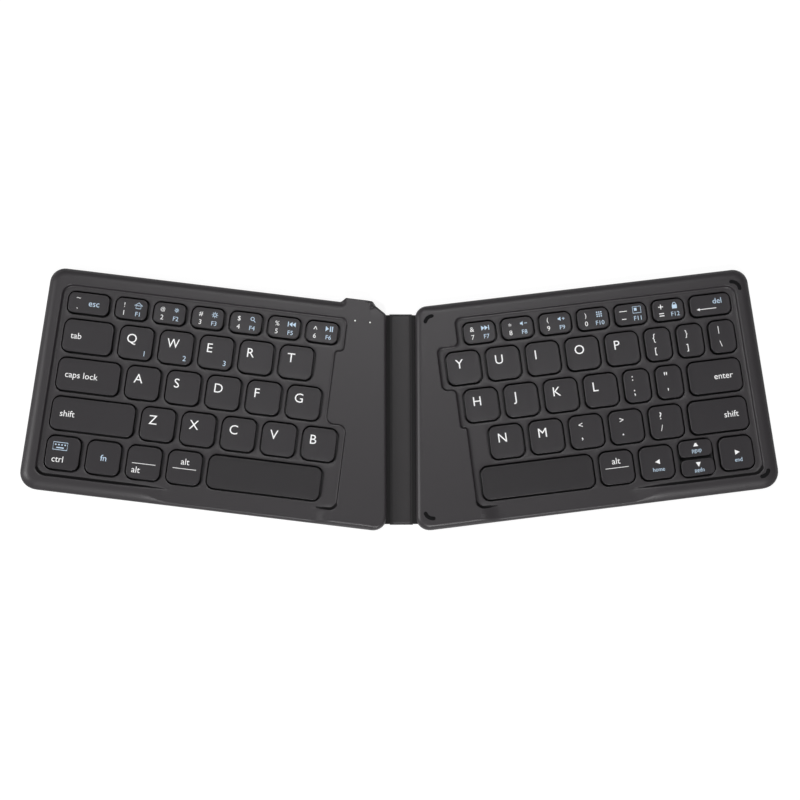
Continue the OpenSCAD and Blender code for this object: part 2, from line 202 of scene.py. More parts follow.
L, N = LETTER_W, NUMBER_W
ROWS = {
    -1: [[16.5] + [N] * 6, [19.8] + [L] * 5, [24.9] + [L] * 5, [33.2] + [L] * 5, [L] * 4 + [SPACE_W]],
    1: [[16.5] + [N] * 6, [NARROW_W] * 3 + [L] * 5, [21.45] + [NARROW_W] * 2 + [L] * 4, [23.7] + [L] * 5,
        [L] * 4 + [SPACE_W]],
}
ROW_END = [138.3, 138.2, 138.2, 138.2, 137.9]
NODES = {
    -1: [["key_esc"] + ["keys_left_numbers"] * 6,
         ["key_tab", "key_q", "key_w", "key_e", "key_r_letter", "key_t"],
         ["key_caps", "key_a", "key_s", "key_d", "key_f", "key_g"],
         ["key_shift_left", "key_z_letter", "key_x", "key_c", "key_v", "key_b"],
         ["keys_left_modifiers"] * 4 + ["key_space_left"]],
    1: [["key_del"] + ["keys_right_numbers"] * 6,
        ["keys_punctuation"] * 3 + ["key_p", "key_o", "key_i", "key_u_letter", "key_y"],
        ["key_enter"] + ["keys_punctuation"] * 2 + ["key_l", "key_k", "key_j", "key_h"],
        ["key_shift_right"] + ["keys_punctuation"] * 3 + ["key_m", "key_n"],
        ["keys_right_arrows"] * 4 + ["key_space_right"]],
}


def row_middle(row):
    """The number row stands NUMBER_PITCH behind the next one; the others are ROW_PITCH apart."""
    return ROW_V + NUMBER_PITCH if row == 0 else ROW_V - ROW_PITCH * (row - 1)


def all_keys():
    """One entry a cap: half, row, place in the row, node, middle (u, v), width, depth and corner radius."""
    for side in (-1, 1):
        for row, widths in enumerate(ROWS[side]):
            edge = ROW_END[row]
            for i, w in enumerate(widths):
                u, v, h = edge - w / 2, row_middle(row), NUMBER_H if row == 0 else LETTER_H
                edge -= w + (NUMBER_GAP if row == 0 else PITCH - LETTER_W)
                node = NODES[side][row][i]
                if side == 1 and row == 4 and i == 1:
                    yield side, row, "up", node, u, v + ARROW_STEP, w, ARROW_H, ARROW_R
                    yield side, row, "down", node, u, v - ARROW_STEP, w, ARROW_H, ARROW_R
                else:
                    yield side, row, i, node, u, v, w, h, KEY_R - (NUMBER_R_LESS if row == 0 else 0)


KEYS = list(all_keys())


def windows(side):
    """Each window's middle, half sizes and corner radius: the cap's and KEY_GAP more all round."""
    out = []
    for s, row, i, node, u, v, w, h, r in KEYS:
        if s != side or i == "down":
            continue
        if i == "up":
            v, h, r = v - ARROW_STEP, ARROW_H + 2 * ARROW_STEP, KEY_R
        out.append((u, v, w / 2 + KEY_GAP, h / 2 + KEY_GAP, r + KEY_GAP))
    return np.array(out)


def box_distance(points, boxes):
    """Distance of each point to the nearest rounded rectangle, below 0 inside it."""
    q = np.abs(points[:, None] - boxes[None, :, :2]) - boxes[None, :, 2:4] + boxes[None, :, 4:5]
    d = np.linalg.norm(np.maximum(q, 0), axis=-1) + np.minimum(q.max(-1), 0) - boxes[None, :, 4]
    return d.min(1)


# ---------------------------------------------------------------- mesh helpers

# the depth of the bumps in metres, and the scale of the slow noise
GRAIN_DEPTH, MOTTLE_SCALE = 0.0001, 55


def material(name, base, rough=0.5, grain=0.0, grain_scale=3000.0, mottle=0.0, metallic=0.0, coat=0.0,
             spec=None, emit=None):
    """Plastic, rubber or metal, on Object coordinates: a fine noise for its grain, a slow one for colour."""
    m = bpy.data.materials.new(name)
    m.use_nodes = True
    t = m.node_tree
    p = t.nodes["Principled BSDF"]
    p.inputs["Base Color"].default_value = (*base, 1)
    p.inputs["Roughness"].default_value = rough
    p.inputs["Metallic"].default_value = metallic
    if coat:
        p.inputs["Coat Weight"].default_value = coat
    if spec is not None:
        p.inputs["Specular IOR Level"].default_value = spec
    # emit: the surface glows in its base colour, giving light of its own
    if emit is not None:
        p.inputs["Emission Color"].default_value = (*base, 1)
        p.inputs["Emission Strength"].default_value = emit
    at = t.nodes.new("ShaderNodeTexCoord")
    if grain:
        n = t.nodes.new("ShaderNodeTexNoise")
        n.inputs["Scale"].default_value = grain_scale
        n.inputs["Detail"].default_value = 3
        b = t.nodes.new("ShaderNodeBump")
        b.inputs["Strength"].default_value = grain
        b.inputs["Distance"].default_value = GRAIN_DEPTH
        t.links.new(at.outputs["Object"], n.inputs["Vector"])
        t.links.new(n.outputs["Fac"], b.inputs["Height"])
        t.links.new(b.outputs["Normal"], p.inputs["Normal"])
    if mottle:
        n = t.nodes.new("ShaderNodeTexNoise")
        n.inputs["Scale"].default_value = MOTTLE_SCALE
        n.inputs["Detail"].default_value = 4
        r = t.nodes.new("ShaderNodeMapRange")
        r.inputs["To Min"].default_value = 1 - mottle
        r.inputs["To Max"].default_value = 1 + mottle
        c = t.nodes.new("ShaderNodeVectorMath")
        c.operation = "SCALE"
        c.inputs[0].default_value = base
        t.links.new(at.outputs["Object"], n.inputs["Vector"])
        t.links.new(n.outputs["Fac"], r.inputs["Value"])
        t.links.new(r.outputs["Result"], c.inputs["Scale"])
        t.links.new(c.outputs["Vector"], p.inputs["Base Color"])
    return m


def piece(name, co, faces, mat, body, node=None, sharp=40, weld=True, others=(), picks=None):
    """A mesh of those points and faces, welded, its faces wound as given, riding on its body."""
    me = bpy.data.meshes.new(name)
    me.from_pydata(np.asarray(co, float).tolist(), [], [list(f) for f in faces])
    me.materials.append(mat)
    for other in others:
        me.materials.append(other)
    if picks:
        me.polygons.foreach_set("material_index", picks)
    if weld:
        b = bmesh.new()
        b.from_mesh(me)
        bmesh.ops.remove_doubles(b, verts=b.verts, dist=2e-6)
        bmesh.ops.dissolve_degenerate(b, edges=b.edges, dist=1e-6)
        b.to_mesh(me)
        b.free()
    me.shade_smooth()
    me.set_sharp_from_angle(angle=math.radians(sharp))
    o = bpy.data.objects.new(name, me)
    bpy.context.scene.collection.objects.link(o)
    if body:
        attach(o, body)
    if node:
        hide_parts(*([node] if isinstance(node, str) else node))
    return o


def strip_faces(rows, n, flip=False):
    """Quads between rows closed rings of n points each, the rings following each other in the point list."""
    i, j = np.meshgrid(np.arange(rows - 1), np.arange(n), indexing="ij")
    k = (j + 1) % n
    low, high = i * n, (i + 1) * n
    f = np.stack([low + j, low + k, high + k, high + j], -1).reshape(-1, 4)
    return f[:, ::-1] if flip else f


class Build:
    """Points and faces gathered for one mesh. Faces wind for the right half; the left half's are turned."""

    def __init__(self, side):
        self.side, self.co, self.faces, self.slots, self.n = side, [], [], [], 0

    def add(self, u, v, z, faces, slot=0):
        """Points of the half's own frame, and faces between them in one material slot."""
        p = to_world(self.side, u, v, z).reshape(-1, 3)
        self.co.append(p)
        f = np.asarray(faces) + self.n
        self.faces += [tuple(x) for x in (f if self.side > 0 else f[:, ::-1]).tolist()]
        self.slots += [slot] * len(f)
        self.n += len(p)

    def rings(self, loops, heights, flip=False, slot=0):
        """A band through the loops, each at its own height (a number, or one per point)."""
        n = len(loops[0])
        u = np.concatenate([q[:, 0] for q in loops])
        v = np.concatenate([q[:, 1] for q in loops])
        z = np.concatenate([np.broadcast_to(h, n) for h in heights])
        self.add(u, v, z, strip_faces(len(loops), n, flip=flip), slot)

    def cover(self, loop, z, flip=False):
        """One flat face inside a loop."""
        f = np.arange(len(loop))[None]
        self.add(loop[:, 0], loop[:, 1], z, f[:, ::-1] if flip else f)

    def points(self):
        """All the points so far, in metres."""
        return np.concatenate(self.co)


# ---------------------------------------------------------------- case tops

def edge_drop(d, wide, deep):
    """How far a rounded edge falls at distance d from it: a quarter ellipse, wide across and deep down."""
    return deep * (1 - np.sqrt(np.clip(1 - (1 - np.clip(d / wide, 0, 1)) ** 2, 0, 1)))


def soft_drop(d, wide, deep):
    """An edge that slopes off sooner and more evenly than an ellipse, and ends in a small one."""
    return 0.9 * deep * (1 - np.clip(d / wide, 0, 1)) ** 2.2 + edge_drop(d, 0.4, 0.1 * deep)


# the step into the well: its height, 1 at the rim and 0 at the deck, against the distance in from the outline
STEP_AT = [-0.75, -0.55, -0.4, -0.28, -0.18, -0.06, 0.06, 0.16, 0.3, 0.5, 0.75, 1.0]
STEP_UP = [1.0, 0.993, 0.965, 0.91, 0.8, 0.5, 0.26, 0.16, 0.1, 0.05, 0.016, 0.0]
STEP_LOOPS = [-1.5, -1.2, -0.95] + STEP_AT + [1.3, 1.6]
# how far in the loops lie that carry the rounded outer edge, and how far out those round a window
OUTER_LOOPS = (0.05, 0.12, 0.25, 0.45, 0.8, 1.2, 1.7, 2.3, 3.0, 3.7, 4.3)
WINDOW_LOOPS = (0.0, 0.08, 0.32)
LOOP_STEP = 2.5
# the outer edge's widths across and its depth, and what the notch changes
FRONT_WIDE, FRONT_MORE, BACK_WIDE, SIDE_WIDE, SIDE_LESS, NOTCH_WIDE = 1.9, 2.8, 3.5, 4.4, 0.4, 1.2
INNER_WIDE = {-1: 1.1, 1: 2.8}
EDGE_DEEP, NOTCH_LESS = 2.1, 0.9
# where the front's edge turns into the back's (v) and into the outer side's (u)
FRONT_TO_BACK, TO_SIDE = (-10, 10), (136, 142)
# the raised block: where its two ends (u) and its front (v) rise, and its small rounded edge, wide and deep
BLOCK_INNER, BLOCK_OUTER, BLOCK_FRONT, BLOCK_EDGE = (16.0, 17.0), (27.2, 28.6), (33, 34), (0.5, 0.4)
WINDOW_EDGE = (0.3, 0.2)
# steps of the coarse grid, and of the fine one over the notch's ends
COARSE, FINE_U, FINE_V = 2.1, 0.8, 0.7


def notch_depth(side, u):
    """1 in the finger notch of the front rim, 0 beside it; its outer end rises slowly."""
    return smooth(u, *NOTCH_IN[side]) * (1 - smooth(u, *NOTCH_OUT))


def outer_drop(side, u, v, d):
    """How far the outer edge falls at distance d from the outline: narrower in the notch and at the spine."""
    back, out, notch = smooth(v, *FRONT_TO_BACK), smooth(u, *TO_SIDE), notch_depth(side, u)
    beside = 1 - smooth(u, wall_u(v) + 3, wall_u(v) + 8)
    front = FRONT_WIDE + FRONT_MORE * smooth(u, NOTCH_IN[side][0], NOTCH_OUT[0])
    wide = (front * (1 - back) + BACK_WIDE * back) * (1 - out) + (SIDE_WIDE - SIDE_LESS * back) * out
    notch = notch * (1 - back)
    wide = wide + (NOTCH_WIDE - wide) * notch
    deep = EDGE_DEEP - NOTCH_LESS * notch
    return soft_drop(d, wide, deep) * (1 - beside) + edge_drop(d, INNER_WIDE[side], deep) * beside


def at_front(u, v):
    """1 at the well's front wall, which leans back, and 0 elsewhere; less beside the notch."""
    beside = 0.7 * smooth(u, 28, 40) * (1 - smooth(u, NOTCH_OUT[0], 112))
    return (1 - smooth(v, WELL_FRONT + 1.2, WELL_FRONT + 3.5)) * (1 - beside)


def shaded(side, p):
    """Which points lie on the steep walls that get painted shade: the well's front wall and its inner side.
    """
    u, v = p[:, 0], p[:, 1]
    well, front = inside(p, offset(*WELL[side], 0)), at_front(u, v)
    ramp = (1 - notch_depth(side, u)) ** 0.5
    inner = smooth(v, WELL_FRONT + 3, WELL_FRONT + 4) * (1 - smooth(v, WELL_BACK - 4, WELL_BACK - 3))
    inner = inner * (u < 40) * (side < 0)
    long = (front > 0.15) * (well > -0.8 * front * ramp) * (well < 0.55 * front * ramp)
    return (long + inner * (well > -0.22) * (well < 0.1)) > 0


def top_height(side, p):
    """Height of the case top over (u, v): rim, soft step into the well, finger notch, rounded outer edges."""
    u, v = p[:, 0], p[:, 1]
    front = at_front(u, v)
    well = (inside(p, offset(*WELL[side], 0)) + 0.12 * front) / (1 + 0.95 * front)
    dip = notch_depth(side, u) * (1 - smooth(v, WELL_FRONT + 0.2, WELL_FRONT + 2.5))
    rim = DECK_Z + (TOP_Z - DECK_Z) * (1 - dip)
    z = DECK_Z + (rim - DECK_Z) * np.interp(well, STEP_AT, STEP_UP)
    drop = outer_drop(side, u, v, inside(p, offset(*CASE[side], 0)))
    if side < 0:
        block = smooth(u, *BLOCK_INNER) * (1 - smooth(u, *BLOCK_OUTER)) * smooth(v, *BLOCK_FRONT)
        full = inside(p, offset(*PORT, 0))
        drop = drop * (1 - block) + edge_drop(full, *BLOCK_EDGE) * block
    z = z - drop
    hole = box_distance(p, windows(side))
    return z - edge_drop(hole, *WINDOW_EDGE)


def grid_points(side, outer, wins):
    """Points of a coarse grid away from the loops, and of a finer one over the ends of the finger notch."""
    gu, gv = np.meshgrid(np.arange(-2, 150, COARSE), np.arange(-56, 42, COARSE))
    grid = np.stack([gu.ravel(), gv.ravel()], 1)
    off_step = np.abs(inside(grid, offset(*WELL[side], 0)) - 0.05) > 1.9
    grid = grid[(inside(grid, outer) > 4.7) & off_step]
    ends = np.concatenate([np.arange(21, 36, FINE_U), np.arange(84, 108, FINE_U)])
    fine_u, fine_v = np.meshgrid(ends, np.arange(-53, -43, FINE_V))
    grid = np.concatenate([grid, np.stack([fine_u.ravel(), fine_v.ravel()], 1)])
    return grid[(inside(grid, outer) > 0.3) & (box_distance(grid, wins) > 0.5)]


def triangulated(loops, grid, outer, wins):
    """Triangles over these points that keep each loop as edges, inside the outline and off the windows."""
    pts, edges, at = [], [], 0
    for q in loops:
        n = len(q)
        pts.append(q)
        j = np.arange(n)
        edges.append(np.stack([at + j, at + (j + 1) % n], 1))
        at += n
    pts = np.concatenate(pts + [grid])
    edges = np.concatenate(edges).tolist()
    co, _, tris, _, _, _ = delaunay_2d_cdt([Vector(q) for q in pts], edges, [], 0, 1e-5)
    co = np.array([(c.x, c.y) for c in co])
    tris = np.array([t for t in tris if len(t) == 3])
    mid = co[tris].mean(1)
    tris = tris[(inside(mid, outer) > 0) & (box_distance(mid, wins) > 0)]
    a, b, c = co[tris[:, 0]], co[tris[:, 1]], co[tris[:, 2]]
    area = (b[:, 0] - a[:, 0]) * (c[:, 1] - a[:, 1]) - (b[:, 1] - a[:, 1]) * (c[:, 0] - a[:, 0])
    tris[area < 0] = tris[area < 0][:, ::-1]
    tris = tris[np.abs(area) > 1e-7]
    used, tris = np.unique(tris, return_inverse=True)
    return co[used], tris.reshape(-1, 3)


def case_top(side, mat, others):
    """The plan between loops of outline, well and windows, triangulated and lifted to top_height.
    Bands carry the outer wall down to the seam and each window's wall to just over the dome sheet; the steep
    walls by the well and the windows' walls are coloured near black as painted shade."""
    edge = PORT if side < 0 else CASE[side]
    outer = dense(offset(*edge, 0), LOOP_STEP)
    loops = [outer] + [dense(offset(*edge, d), LOOP_STEP) for d in OUTER_LOOPS]
    loops += [dense(offset(*WELL[side], d), LOOP_STEP) for d in STEP_LOOPS]
    wins = windows(side)
    holes = []
    for cu, cv, a, b, r in wins:
        rings = [rounded_box(a + grow, b + grow, r + grow, 6) + (cu, cv) for grow in WINDOW_LOOPS]
        holes.append(rings[0])
        loops += rings
    co, tris = triangulated(loops, grid_points(side, outer, wins), outer, wins)
    made = Build(side)
    # faces on the steep walls take slot 1, a near-black colour that paints their shade
    walls = shaded(side, co[tris].mean(1))
    z = top_height(side, co)
    made.add(co[:, 0], co[:, 1], z, tris[~walls])
    made.add(co[:, 0], co[:, 1], z, tris[walls], slot=1)
    z = top_height(side, outer)
    groove = offset_like(outer, SEAM_IN)
    heights = [SEAM_Z, SEAM_Z + SEAM_HIGH, SEAM_Z + SEAM_HIGH, (SEAM_Z + z) / 2, z]
    made.rings([groove, groove, outer, outer, outer], heights)
    for q in holes:
        # the window's wall, slot 2: near black, painted shade in the gap
        made.rings([q, q, q], [WINDOW_LOW, WINDOW_MIDDLE, top_height(side, q)], flip=True, slot=2)
    name = SIDE_NAME[side]
    return piece(f"{name}_case_top", made.points(), made.faces, mat, f"{name}_half", f"{name}_top_case",
                 others=others, picks=made.slots)


def offset_like(loop, d):
    """A loop's own points moved inwards by d along the mean of their two sides' normals."""
    a = loop - np.roll(loop, 1, 0)
    b = np.roll(loop, -1, 0) - loop
    t = a / np.linalg.norm(a, axis=1)[:, None] + b / np.linalg.norm(b, axis=1)[:, None]
    t /= np.linalg.norm(t, axis=1)[:, None]
    return loop + d * np.stack([-t[:, 1], t[:, 0]], 1)


def case_bottom(side, mat):
    """The outline's loop carried down from the seam and in round a quarter ellipse to a flat underside."""
    edge = PORT if side < 0 else CASE[side]
    outer = dense(offset(*edge, 0), 4)
    turn = np.linspace(0, 1, 6) * math.pi / 2
    loops = [offset_like(outer, SEAM_IN), outer]
    loops += [offset_like(outer, COVER_ROUND_IN * (1 - math.cos(t))) for t in turn]
    heights = [SEAM_Z, SEAM_Z - 0.02] + [COVER_ROUND_UP * (1 - math.sin(t)) for t in turn]
    made = Build(side)
    made.rings(loops, heights, flip=True)
    made.cover(loops[-1], 0.0, flip=True)
    made.cover(loops[0], SEAM_Z)
    name = SIDE_NAME[side]
    return piece(f"{name}_cover", made.points(), made.faces, mat, f"{name}_half", f"{name}_bottom_case",
                 sharp=45)


# ---------------------------------------------------------------- key caps

# a cap's outline from its skirt up over a small rounded edge to a faint hollow: how far in, and how high
CAP_IN = [0.0, 0.0, 0.03, 0.08, 0.17, 0.3, 0.5, 1.0, 1.8]
CAP_DOWN = [0.34, 0.2, 0.1, 0.035, 0, 0.005, 0.03, 0.05]


def cap_rings(w, h, r):
    """Loops of one cap, by CAP_IN, and their heights, by CAP_DOWN below KEY_Z."""
    loops = [rounded_box(w / 2 - d, h / 2 - d, max(0.3, r - d), 7) for d in CAP_IN]
    return loops, [SKIRT_Z] + [KEY_Z - d for d in CAP_DOWN]


def caps(mat, dark, space_mat):
    """Every cap, gathered into one mesh for each node of the frame; the skirts are painted near black, as the
    shade down the gaps.
    """
    meshes = {}
    for side, row, i, node, u, v, w, h, r in KEYS:
        made = meshes.setdefault(node, Build(side))
        loops, heights = cap_rings(w, h, r)
        loops = [q + (u, v) for q in loops]
        # the skirt, slot 1: painted near black as the shade in the gap
        made.rings(loops[:2], heights[:2], slot=1)
        made.rings(loops[1:], heights[1:])
        made.cover(loops[-1], heights[-1])
        wall = rounded_box(w / 2 - CAP_WALL, h / 2 - CAP_WALL, CAP_WALL_R, 7) + (u, v)
        made.rings([loops[0], wall, wall], [SKIRT_Z, SKIRT_Z, CEILING_Z], flip=True)
        made.cover(wall, CEILING_Z, flip=True)
    for node, b in meshes.items():
        top = space_mat if "space" in node else mat
        piece(f"{node.replace('_letter', '')}_cap", b.points(), b.faces, top, body_of(node), node,
              sharp=50, others=[dark], picks=b.slots)


def body_of(node):
    """The frame's body that carries a node."""
    return next(b for b, nodes in frame["record"]["behaviour"]["bodies"].items() if node in nodes)


# ---------------------------------------------------------------- legends

# the height of the font's capitals at size 1
CAPITAL = 0.73
# where the small signs of the number keys stand, and the width of their strokes
MEDIA_AT, STROKE = (2.7, 1.6), 0.25


class Ink:
    """Printed marks, gathered for each node and colour, at MARK_Z, 0.015 mm over the caps' hollows."""

    def __init__(self):
        self.co, self.faces = {}, {}
        self.cache = {}

    def put(self, key, side, u, v, co, faces):
        """co is (n, 2) in reading direction, which is u on the right half and against u on the left."""
        c = self.co.setdefault(key, [])
        start = sum(len(x) for x in c)
        c.append(to_world(side, u + side * co[:, 0], v + co[:, 1], MARK_Z))
        self.faces.setdefault(key, []).extend([tuple(start + k for k in f) for f in faces])

    def glyphs(self, text):
        """A string as flat faces at size 1, by Blender's own font, left edge and baseline at 0."""
        if text not in self.cache:
            cu = bpy.data.curves.new("mark", "FONT")
            cu.body = text
            cu.resolution_u = 3
            o = bpy.data.objects.new("mark", cu)
            bpy.context.scene.collection.objects.link(o)
            me = bpy.data.meshes.new_from_object(o)
            co = np.zeros(len(me.vertices) * 3)
            me.vertices.foreach_get("co", co)
            co = co.reshape(-1, 3)[:, :2]
            co[:, 0] -= co[:, 0].min()
            faces = [tuple(f.vertices) for f in me.polygons]
            if len(faces) and (me.polygons[0].normal.z < 0):
                faces = [f[::-1] for f in faces]
            self.cache[text] = (co, faces)
            bpy.data.meshes.remove(me)
            bpy.data.objects.remove(o)
            bpy.data.curves.remove(cu)
        return self.cache[text]

    def word(self, key, side, u, v, x, y, text, size, align="left", squeeze=1.0, grow=1.0):
        """A word with its baseline's start at (x, y) from the cap's middle; size is a capital's height."""
        co, faces = self.glyphs(text)
        k = size / CAPITAL
        co = co * (k * squeeze, k)
        wide = co[:, 0].max()
        shift = {"left": 0, "right": -wide, "middle": -wide / 2}[align]
        mid = (co.min(0) + co.max(0)) / 2
        self.put(key, side, u, v, mid + (co - mid) * grow + (x + shift, y), faces)

    def sign(self, key, side, u, v, x, y, text, wide, high):
        """A sign with its middle at (x, y), as high and wide as given, or in proportion at width None."""
        co, faces = self.glyphs(text)
        low, top = co.min(0), co.max(0)
        k = high / (top[1] - low[1])
        across = wide / (top[0] - low[0]) if wide else k
        self.put(key, side, u, v, (co - (low + top) / 2) * (across, k) + (x, y), faces)

    def shape(self, key, side, u, v, x, y, pts):
        """A flat shape from its corner points, counter-clockwise."""
        self.put(key, side, u, v, np.array(pts, float) + (x, y), [tuple(range(len(pts)))])

    def line(self, key, side, u, v, pts, wide, closed=False):
        """A stroke of one width along points, with mitred joints."""
        p = np.array(pts, float)
        if closed:
            t = np.roll(p, -1, 0) - np.roll(p, 1, 0)
        else:
            t = np.gradient(p, axis=0)
        t /= np.linalg.norm(t, axis=1)[:, None]
        nrm = np.stack([-t[:, 1], t[:, 0]], 1) * wide / 2
        n = len(p)
        j = np.arange(n if closed else n - 1)
        k = (j + 1) % n
        f = np.stack([j, j + n, k + n, k], 1)
        self.put(key, side, u, v, np.concatenate([p + nrm, p - nrm]), f.tolist())

    def finish(self, mats):
        """One piece for each node and colour."""
        for (node, colour), c in self.co.items():
            name = f"{node.replace('_letter', '')}_print_{colour}"
            piece(name, np.concatenate(c), self.faces[(node, colour)], mats[colour], body_of(node), None,
                  weld=False)


# what is printed, by half and row, from the outer end inwards: a letter, a lower and an upper sign,
# or a digit, its sign and its second function
WORDS = {
    (-1, 0): [None, ("1", "!", "F1"), ("2", "@", "F2"), ("3", "#", "F3"), ("4", "$", "F4"), ("5", "%", "F5"),
              ("6", "^", "F6")],
    (1, 0): [None, ("=", "+", "F12"), ("-", "_", "F11"), ("0", ")", "F10"), ("9", "(", "F9"),
             ("8", "*", "F8"), ("7", "&", "F7")],
    (-1, 1): [None] + list("QWERT"),
    (-1, 2): [None] + list("ASDFG"),
    (-1, 3): [None] + list("ZXCVB"),
    (1, 1): [("\\", "|"), ("]", "}"), ("[", "{")] + list("POIUY"),
    (1, 2): [None, ("'", '"'), (";", ":")] + list("LKJH"),
    (1, 3): [None, ("/", "?"), (".", ">"), (",", "<")] + list("MN"),
}
MEDIA = {-1: [None, "home", "dim", "bright", "search", "back", "play"],
         1: [None, "lock", "window", "keypad", "loud", "quiet", "next"]}
KEY_WORDS = {"key_tab": "tab", "key_caps": "caps lock", "key_shift_left": "shift", "key_enter": "enter",
             "key_shift_right": "shift"}
WORD_SHIFT = {"key_tab": 0, "key_caps": 0.2, "key_shift_left": 0.57, "key_enter": -0.58,
              "key_shift_right": -0.73}
# width and height of the signs over and beside a digit
SIGN_SIZE = {"@": (1.9, 1.9), "$": (None, 2.2), "^": (1.6, 1.3), "*": (None, 1.35), "(": (None, 2.45),
             ")": (None, 2.45), "_": (3.1, 0.3), "-": (1.8, 0.3), "+": (2.0, 2.0), "=": (2.0, 1.3)}
# how far a sign of a punctuation key is moved in x and y, and how much it is enlarged
SIGN_SHIFT = {"{": (0.6, 0, 1.15), "[": (0.8, -0.27, 1), "}": (0.67, 0.2, 1), "]": (0.5, -0.27, 1),
              "|": (1.1, 0.4, 1), "\\": (1.0, -0.6, 1), ":": (0.76, 0.76, 1.15), ";": (0.9, 0, 1.3),
              '"': (0.9, -0.2, 1.45), "'": (1.4, -1.6, 1.3), "<": (1.1, 0, 1), ",": (1.7, 0.55, 1.4),
              ">": (1.55, 0, 1), ".": (2.05, 0.2, 1.6), "?": (1.7, -0.2, 1.2), "/": (1.45, 0, 1)}


def box(x, y, wide, high):
    """Corners of a rectangle round (x, y), counter-clockwise."""
    a, b = wide / 2, high / 2
    return [[x - a, y - b], [x + a, y - b], [x + a, y + b], [x - a, y + b]]


def media_mark(ink, key, side, u, v, kind):
    """Small plain signs for the second function of a number key, made of strokes and filled shapes."""
    ring = circle(16)
    strokes, rings, fills = [], [], []
    tri = np.array([[-0.65, -1.0], [0.65, 0], [-0.65, 1.0]])
    if kind in ("dim", "bright"):
        r = 0.4 if kind == "dim" else 0.6
        rings = [ring * r]
        ray = [r + 0.25, r + (0.5 if kind == "dim" else 0.65)]
        strokes = [np.outer(ray, (math.cos(t), math.sin(t))) for t in np.arange(8) * math.pi / 4]
    elif kind == "play":
        fills = [tri * (1, 1.1) - (0.85, 0), box(0.45, 0, 0.42, 2.2), box(1.25, 0, 0.42, 2.2)]
    elif kind in ("back", "next"):
        s = -1 if kind == "back" else 1
        fills = [(tri * (s, 1) + (k * s, 0))[::s] for k in (-1.2, 0.15)] + [box(1.2 * s, 0, 0.35, 2.0)]
    elif kind in ("quiet", "loud"):
        fills = [[[-1.45, -0.35], [-0.95, -0.35], [-0.35, -0.9], [-0.35, 0.9], [-0.95, 0.35], [-1.45, 0.35]]]
        strokes = [[(0.25, 0), (1.35, 0)]] + ([[(0.8, -0.55), (0.8, 0.55)]] if kind == "loud" else [])
    elif kind == "search":
        rings = [ring * 0.68 + (-0.25, 0.3)]
        strokes = [[(0.25, -0.2), (1.0, -1.0)]]
    elif kind == "lock":
        fills = [box(0, -0.55, 2.0, 1.6)]
        arc = np.linspace(0, math.pi, 9)
        strokes = [np.stack([np.cos(arc) * 0.65, np.sin(arc) * 0.95], 1) + (0, 0.25)]
    elif kind == "home":
        rings = [np.array(box(0, -0.6, 2.0, 1.2))]
        strokes = [[(-1.6, -0.1), (0, 1.2), (1.6, -0.1)]]
    elif kind == "keypad":
        fills = [box(x, y, 0.5, 0.5) for x in (-0.85, 0, 0.85) for y in (-0.85, 0, 0.85)]
    elif kind == "window":
        rings = [np.array(box(0, 0, 3.3, 2.7))]
        fills = [box(-0.55, 0.2, 1.1, 1.2)]
    for pts in strokes:
        ink.line(key, side, u, v, np.array(pts) + MEDIA_AT, STROKE)
    for pts in rings:
        ink.line(key, side, u, v, pts + MEDIA_AT, STROKE, closed=True)
    for pts in fills:
        ink.shape(key, side, u, v, *MEDIA_AT, pts)


